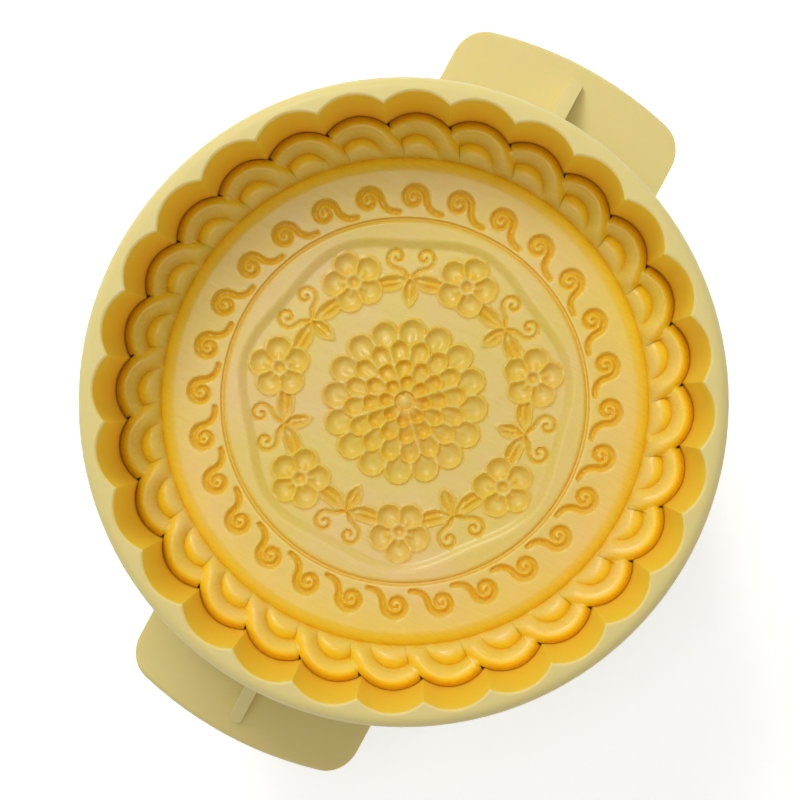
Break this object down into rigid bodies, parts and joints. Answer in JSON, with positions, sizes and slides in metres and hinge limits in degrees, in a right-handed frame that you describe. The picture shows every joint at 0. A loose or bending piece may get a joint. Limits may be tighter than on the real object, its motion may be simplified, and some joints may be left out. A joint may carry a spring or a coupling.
{
  "type": "mooncake press",
  "caption": "Hand press for a large round mooncake: fluted barrel with two finger ears, patterned stamp on a sprung plunger, round palm handle.",
  "frame": {"origin": "centre of the bounding box's underside, in the palm face of the handle", "axes": "+Z along the barrel's axis from the palm face to the mouth; X through the two ears; the press stands on its palm handle"},
  "size_m": [0.221, 0.168, 0.1407],
  "materials": {
    "barrel_plastic": "satin moulded",
    "handle_plastic": "satin moulded",
    "stamp_plastic": "satin, finely machined",
    "zinc_steel": "zinc plated",
    "spring_steel": "drawn wire"
  },
  "bodies": {
    "barrel": {"barrel": "barrel_plastic", "spring_washer_barrel": "zinc_steel", "return_spring": "spring_steel"},
    "plunger": {"plunger_disc": "barrel_plastic", "plunger_stem": "barrel_plastic", "disc_screws": "zinc_steel", "spring_washer_handle": "zinc_steel", "handle_body": "handle_plastic", "handle_cap": "handle_plastic", "handle_screws": "zinc_steel", "handle_screw_washers": "zinc_steel"},
    "stamp": {"stamp_plate": "stamp_plastic"}
  },
  "joints": [
    {"name": "press", "type": "slide", "parent": "barrel", "child": "plunger", "axis": [0, 0, 1], "range_m": [0, 0.04], "stiffness_N_per_m": 1450, "springref_m": -0.014, "deforming": ["return_spring"]},
    {"name": "stamp_lift", "type": "slide", "parent": "plunger", "child": "stamp", "axis": [0, 0, 1], "range_m": [0, 0.06]}
  ]
}
